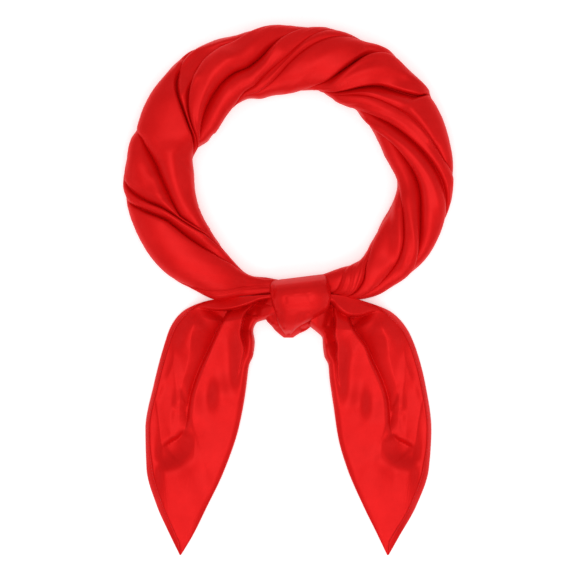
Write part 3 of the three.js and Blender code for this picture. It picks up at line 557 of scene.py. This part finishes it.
# A tail's top surface: each row runs from the outer to the inner edge, and its height is a rest height, a
# lift that dies away from the knot as e^-(d^1.5), the folds, and a fall at both edges, where the cloth turns
# down. Near the floor it bends as ln(1 + e^x), so that it never goes through.
def tailTop(side, shares, downs):
    outX, outY, inX, inY = tailEdge(side, downs)
    across, down = mix(outX, inX, shares), mix(outY, inY, shares)
    drawnOutX, drawnOutY, drawnInX, drawnInY = tailEdge("left", downs)
    drawnX, drawnY = mix(drawnOutX, drawnInX, shares), mix(drawnOutY, drawnInY, shares)
    rows = downs[:, None]
    outerRest = mix(tail["outerRest"], 1, smoothStep(*tail["outerRestUntil"], rows))
    rest = mix(outerRest, 1, smoothStep(0, tail["outerRestOver"], shares))
    z = tail["restLift"] * rest * mix(1, tail["tipRest"], smoothStep(tail["tipRestFrom"], 1, rows))
    z = z + tail["knotLift"] * np.exp(-(np.hypot(across, down) / tail["liftReach"]) ** 1.5)
    z = z + foldHeights(tailFolds, drawnX, drawnY, mm, tail["width"], tail["length"])
    rippleX, rippleY = across / tail["rippleWide"] + 50, down / tail["rippleLong"] + 50
    z = z + tail["ripple"] * latticeNoise(rippleX, rippleY, tail["seed"][side])
    rowWidth = np.hypot(outX - inX, outY - inY)
    inner = np.clip(1 - (1 - shares) * rowWidth / tail["innerRoll"], 0, 1)
    innerFall = mix(*tail["innerFall"], smoothStep(*tail["innerFallChange"], rows))
    innerFall = innerFall * (1 - np.sqrt(1 - inner**2))
    outerRoll = mix(*tail["outerRoll"], smoothStep(*tail["outerRollChange"], rows))
    outer = np.clip(1 - shares * rowWidth / outerRoll, 0, 1) * smoothStep(*tail["outerFallFrom"], rows)
    z = z - (z - tail["wall"]) * (innerFall + tail["outerFall"] * outer**1.6)
    z = tail["wall"] + tail["floorReach"] * np.logaddexp(0, (z - tail["wall"]) / tail["floorReach"])
    x = knot["across"] + (-across if side == "left" else across)
    return np.stack((x, -knot["down"] - down, z), axis=-1)


hem = {
    "width": 5 * mm,
    "wall": 1.5 * mm,
    "from": 0.2,
    "rise": 0.5 * mm,          # how high its double cloth bulges over the tail
    "fill": 0.992,             # share of its width up to the tail's cloth
    "rows": 220,
    "columns": 8,
}
# The hem's width that shows, by the way down: it leans away from the eye along the side, so less shows there.
hemShow = np.array([(0.2, 0), (0.3, 0.75), (0.45, 0.66), (0.66, 0.6), (0.76, 0.95), (1, 0.95)])


# The hem's width at each place down the tail, and never more than 0.45 of the row.
def hemWidths(downs, rowWidth):
    show = smoothCurve(hemShow[:, 0], hemShow[:, 1], downs)[:, None] * hem["width"]
    return np.clip(show, 0, 0.45 * rowWidth)


# The width of each row of a tail, from edge to edge.
def rowWidths(side, downs):
    outX, outY, inX, inY = tailEdge(side, downs)
    return np.hypot(outX - inX, outY - inY)


# A cloth of even thickness: the top surface, and the same points again one wall lower and never under the
# floor, joined along both edges.
def clothPiece(name, top, wall, along, across):
    under = top.copy()
    under[..., 2] = np.maximum(top[..., 2] - wall, 0)
    uv = np.stack((np.broadcast_to(along, top.shape[:2]), np.broadcast_to(across, top.shape[:2])), axis=-1)
    grid = np.concatenate((top, under[:, ::-1]), axis=1)
    return closedMesh(name, grid, np.concatenate((uv, uv[:, ::-1]), axis=1))


# A tail's cloth, from the hem's inner line to the inner edge, and its hem strip, which bulges by
# rise sqrt(1 - (2 s - 1)^4) across.
def tailPieces(side):
    downs = np.linspace(0, 1, tail["rows"])
    width = rowWidths(side, downs)
    shares = mix(hemWidths(downs, width) / width, 1, np.linspace(0, 1, tail["columns"])[None, :])
    top = tailTop(side, shares, downs)
    along = downs[:, None] * tail["length"]
    cloth = clothPiece("tail_cloth_" + side, top, tail["wall"], along, shares * width)
    hemDowns = np.linspace(hem["from"], 1, hem["rows"])
    hemWidth = rowWidths(side, hemDowns)
    across = np.linspace(0, 1, hem["columns"])[None, :]
    hemShares = across * hemWidths(hemDowns, hemWidth) / hemWidth * hem["fill"]
    hemTop = tailTop(side, hemShares, hemDowns)
    hemTop[..., 2] += hem["rise"] * np.sqrt(1 - (2 * across - 1) ** 4)
    hemAlong = hemDowns[:, None] * tail["length"]
    strip = clothPiece("hem_strip_" + side, hemTop, hem["wall"], hemAlong, across * hem["width"])
    return cloth, strip


stitch = {
    "pitch": 2.1 * mm,
    "length": 1.5 * mm,
    "radius": 0.14 * mm,
    "place": 0.82,             # share of the hem's width
    "inset": 0.05,             # how far below the hem's start the row starts, as a share of the tail
    "end": 0.985,
    "sink": 0.1,               # share of the hem's rise that it sinks in
    "sides": 6,
    "rows": 5,
}


# A row of stitches along a hem: each is a small closed bean, radius r sqrt(1 - (2s - 1)^4) along its length,
# laid on the hem at even distances.
def stitchRow(side):
    downs = np.linspace(hem["from"] + stitch["inset"], stitch["end"], 400)
    width = rowWidths(side, downs)
    line = tailTop(side, hemWidths(downs, width) / width * stitch["place"], downs)
    line = line[:, 0] + (0, 0, hem["rise"] * (1 - stitch["sink"]))
    length = np.concatenate(([0], np.cumsum(np.linalg.norm(np.diff(line, axis=0), axis=1))))
    starts = np.arange(0, length[-1] - stitch["length"], stitch["pitch"])
    s = np.linspace(0.02, 0.98, stitch["rows"])
    at = starts[:, None] + s * stitch["length"]
    middle = np.stack([np.interp(at, length, line[:, k]) for k in range(3)], axis=-1)
    step = middle[:, -1:] - middle[:, :1]
    sideways = np.cross(step, (0, 0, 1))
    sideways /= np.linalg.norm(sideways, axis=-1, keepdims=True)
    turn = 2 * np.pi * np.arange(stitch["sides"]) / stitch["sides"]
    radius = stitch["radius"] * np.sqrt(1 - (2 * s - 1) ** 4)[None, :, None, None]
    ring = np.cos(turn)[:, None] * sideways[:, :, None] + np.sin(turn)[:, None] * (0, 0, 1)
    points = middle[:, :, None] + radius * ring
    count, rows, sides = points.shape[:3]
    row, column = np.meshgrid(np.arange(rows - 1), np.arange(sides), indexing="ij")
    after = (column + 1) % sides
    quads = np.stack((row * sides + column, (row + 1) * sides + column, (row + 1) * sides + after,
                      row * sides + after), axis=-1).reshape(-1, 4)
    base = np.arange(count)[:, None, None] * rows * sides
    caps = np.stack((np.arange(sides), (rows - 1) * sides + np.arange(sides)[::-1]))
    mesh = bpy.data.meshes.new("hem_stitches_" + side)
    faces = (base + quads).reshape(-1, 4).tolist() + (base + caps).reshape(-1, sides).tolist()
    mesh.from_pydata(points.reshape(-1, 3).tolist(), [], faces)
    mesh.polygons.foreach_set("use_smooth", np.ones(len(faces), bool))
    piece = bpy.data.objects.new("hem_stitches_" + side, mesh)
    bpy.context.scene.collection.objects.link(piece)
    return piece


# Moves a piece's points, so that its object stays at the origin.
def shiftMesh(piece, by):
    points = np.empty(len(piece.data.vertices) * 3)
    piece.data.vertices.foreach_get("co", points)
    piece.data.vertices.foreach_set("co", (points.reshape(-1, 3) + by).ravel())
    piece.data.update()


satin = {
    "deep": (0.56, 0.001, 0.001, 1),
    "lit": (0.82, 0.011, 0.011, 1),
    "patchScale": 38,          # size of the noise that blends the two reds
    "patchDetail": 8,
    "grain": 0.7,              # how much of the colour's change is fine
    "metallic": 0.48,          # share of the light that the floats send back as coloured gloss
    "roughness": 0.48,
    "specular": 0.24,
    "tint": (1.0, 0.12, 0.12, 1),
    "coat": 0.12,
    "coatRoughness": 0.35,
    "threadPitch": 0.22 * mm,
    "threadWaver": 1.5,
    "threadBump": 0.12,
    "threadDepth": 0.1 * mm,
    "slubScale": 420,
    "slubBump": 0.05,
    "slubDepth": 0.4 * mm,
}


# Satin: two near reds blended by soft noise, a fine weave that follows the cloth's own map, and a broad,
# tinted gloss under a thin clear coat.
def satinMaterial(name, look):
    material = bpy.data.materials.new(name)
    material.use_nodes = True
    nodes, links = material.node_tree.nodes, material.node_tree.links
    shader = nodes["Principled BSDF"]
    place = nodes.new("ShaderNodeTexCoord")
    patch = nodes.new("ShaderNodeTexNoise")
    patch.inputs["Scale"].default_value = look["patchScale"]
    patch.inputs["Detail"].default_value = look["patchDetail"]
    patch.inputs["Roughness"].default_value = look["grain"]
    links.new(place.outputs["Object"], patch.inputs["Vector"])
    blend = nodes.new("ShaderNodeMix")
    blend.data_type = "RGBA"
    blend.inputs["A"].default_value = look["deep"]
    blend.inputs["B"].default_value = look["lit"]
    links.new(patch.outputs["Fac"], blend.inputs["Factor"])
    links.new(blend.outputs["Result"], shader.inputs["Base Color"])
    cloth = nodes.new("ShaderNodeUVMap")
    cloth.uv_map = "cloth"
    threads = nodes.new("ShaderNodeTexWave")
    threads.wave_type = "BANDS"
    threads.bands_direction = "DIAGONAL"
    threads.inputs["Scale"].default_value = 0.3 / look["threadPitch"]
    threads.inputs["Distortion"].default_value = look["threadWaver"]
    threads.inputs["Detail"].default_value = 2
    links.new(cloth.outputs["UV"], threads.inputs["Vector"])
    slub = nodes.new("ShaderNodeTexNoise")
    slub.inputs["Scale"].default_value = look["slubScale"]
    slub.inputs["Detail"].default_value = 2
    links.new(place.outputs["Object"], slub.inputs["Vector"])
    threadBump = nodes.new("ShaderNodeBump")
    threadBump.inputs["Strength"].default_value = look["threadBump"]
    threadBump.inputs["Distance"].default_value = look["threadDepth"]
    links.new(threads.outputs["Fac"], threadBump.inputs["Height"])
    slubBump = nodes.new("ShaderNodeBump")
    slubBump.inputs["Strength"].default_value = look["slubBump"]
    slubBump.inputs["Distance"].default_value = look["slubDepth"]
    links.new(slub.outputs["Fac"], slubBump.inputs["Height"])
    links.new(threadBump.outputs["Normal"], slubBump.inputs["Normal"])
    links.new(slubBump.outputs["Normal"], shader.inputs["Normal"])
    shader.inputs["Metallic"].default_value = look["metallic"]
    shader.inputs["Roughness"].default_value = look["roughness"]
    shader.inputs["Specular IOR Level"].default_value = look["specular"]
    shader.inputs["Specular Tint"].default_value = look["tint"]
    shader.inputs["Coat Weight"].default_value = look["coat"]
    shader.inputs["Coat Roughness"].default_value = look["coatRoughness"]
    return material


thread = {"colour": (0.5, 0.004, 0.006, 1), "roughness": 0.6, "twist": 5200, "bump": 0.3, "depth": 0.05 * mm}


# Thread: a darker red with fine slanting ply lines.
def threadMaterial():
    material = bpy.data.materials.new("stitch_thread")
    material.use_nodes = True
    nodes, links = material.node_tree.nodes, material.node_tree.links
    shader = nodes["Principled BSDF"]
    shader.inputs["Base Color"].default_value = thread["colour"]
    shader.inputs["Roughness"].default_value = thread["roughness"]
    place = nodes.new("ShaderNodeTexCoord")
    ply = nodes.new("ShaderNodeTexWave")
    ply.bands_direction = "DIAGONAL"
    ply.inputs["Scale"].default_value = thread["twist"]
    bump = nodes.new("ShaderNodeBump")
    bump.inputs["Strength"].default_value = thread["bump"]
    bump.inputs["Distance"].default_value = thread["depth"]
    links.new(place.outputs["Object"], ply.inputs["Vector"])
    links.new(ply.outputs["Fac"], bump.inputs["Height"])
    links.new(bump.outputs["Normal"], shader.inputs["Normal"])
    return material


# The roll comes first: its box against the solid's gives the place of the ring's middle.
satinCloth = satinMaterial("red_satin", satin)
hemCloth = satinMaterial("red_satin_hem", satin)
threadCloth = threadMaterial()

ringPiece = closedMesh("rolled_ring", *rollGrid())
low, high = (np.array(corner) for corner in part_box("neck_loop"))
corners = np.array([corner[:] for corner in ringPiece.bound_box])
ringMiddle = (low + high) / 2 - (corners.min(axis=0) + corners.max(axis=0)) / 2
ringMiddle[2] = 0
print("roll made, ring's middle at", ringMiddle.round(5))
bandPiece = closedMesh(band["name"], *knotGrid(bandSections, band, bandFolds))
corePiece = closedMesh(core["name"], *knotGrid(coreSections, core, coreFolds))
print("knot made")
tails = {side: tailPieces(side) for side in ("left", "right")}
stitches = {side: stitchRow(side) for side in ("left", "right")}
print("tails, hems and stitches made")

for piece in [ringPiece, bandPiece, corePiece, *tails["left"], *tails["right"], *stitches.values()]:
    shiftMesh(piece, ringMiddle)
    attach(piece, "root")

dressed = [
    (ringPiece, "neck_loop", satinCloth, "satin"),
    (bandPiece, "knot_wrap", satinCloth, "satin"),
    (corePiece, "knot_core", satinCloth, "satin"),
    (tails["left"][0], "tail_left", satinCloth, "satin"),
    (tails["right"][0], "tail_right", satinCloth, "satin"),
    (tails["left"][1], "hem_left", hemCloth, "hem"),
    (tails["right"][1], "hem_right", hemCloth, "hem"),
]
for piece, node, material, slot in dressed:
    piece.data.materials.append(material)
    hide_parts(node)
for piece in stitches.values():
    piece.data.materials.append(threadCloth)

# The floor, the lights and the camera. The frame shows 374 mm across, as the photograph does.
stage = {
    "floorSide": 4.0,
    "floorColour": (0.93, 0.93, 0.93, 1),
    "floorRoughness": 0.9,
    "floorGlow": 0.36,
    "skyStrength": 0.62,
    "viewWidth": 0.3744,
    "viewHeight": 12 * mm,
    "lens": 200,
    "sensor": 36,
    "aim": (0.0, 0.00195),
}
# The lights: name, power in watts, place and side.
softLights = [
    ("top", 13.5, (0.0, -0.1, 2.5), 1.2),
    ("front", 4, (0.0, -1.0, 1.3), 0.7),
    ("left", 1, (-1.35, -0.25, 0.85), 0.7),
    ("right", 1, (1.35, -0.25, 0.85), 0.7),
]


# The pale ground under the cloth, a square that glows a little.
def makeFloor():
    half = stage["floorSide"] / 2
    corners = [(-half, -half, 0), (half, -half, 0), (half, half, 0), (-half, half, 0)]
    mesh = bpy.data.meshes.new("floor")
    mesh.from_pydata(corners, [], [(0, 1, 2, 3)])
    floor = bpy.data.objects.new("floor", mesh)
    bpy.context.scene.collection.objects.link(floor)
    material = bpy.data.materials.new("floor")
    material.use_nodes = True
    shader = material.node_tree.nodes["Principled BSDF"]
    shader.inputs["Base Color"].default_value = stage["floorColour"]
    shader.inputs["Roughness"].default_value = stage["floorRoughness"]
    shader.inputs["Specular IOR Level"].default_value = 0
    shader.inputs["Emission Color"].default_value = (1, 1, 1, 1)
    shader.inputs["Emission Strength"].default_value = stage["floorGlow"]
    mesh.materials.append(material)


# A square soft light that faces the origin.
def makeLight(name, power, place, size):
    data = bpy.data.lights.new(name, "AREA")
    data.energy, data.size = power, size
    light = bpy.data.objects.new(name, data)
    x, y, z = place
    light.location = place
    light.rotation_euler = (math.atan2(math.hypot(x, y), z), 0, math.atan2(x, -y) if (x or y) else 0)
    bpy.context.scene.collection.objects.link(light)


# An even white sky.
def makeWorld():
    world = bpy.data.worlds.new("studio")
    world.use_nodes = True
    back = world.node_tree.nodes["Background"]
    back.inputs["Color"].default_value = (1, 1, 1, 1)
    back.inputs["Strength"].default_value = stage["skyStrength"]
    bpy.context.scene.world = world


# A long lens straight above, so far up that viewWidth fills the frame at viewHeight.
def makeCamera():
    data = bpy.data.cameras.new("camera")
    data.lens, data.sensor_width, data.sensor_fit = stage["lens"], stage["sensor"], "HORIZONTAL"
    data.clip_end = 20
    camera = bpy.data.objects.new("camera", data)
    distance = stage["viewWidth"] * data.lens / data.sensor_width
    camera.location = (*stage["aim"], stage["viewHeight"] + distance)
    bpy.context.scene.collection.objects.link(camera)
    bpy.context.scene.camera = camera


makeFloor()
for light in softLights:
    makeLight(*light)
makeWorld()
makeCamera()
bpy.context.scene.view_settings.view_transform = "Standard"
print("stage set")

bpy.context.view_layer.update()
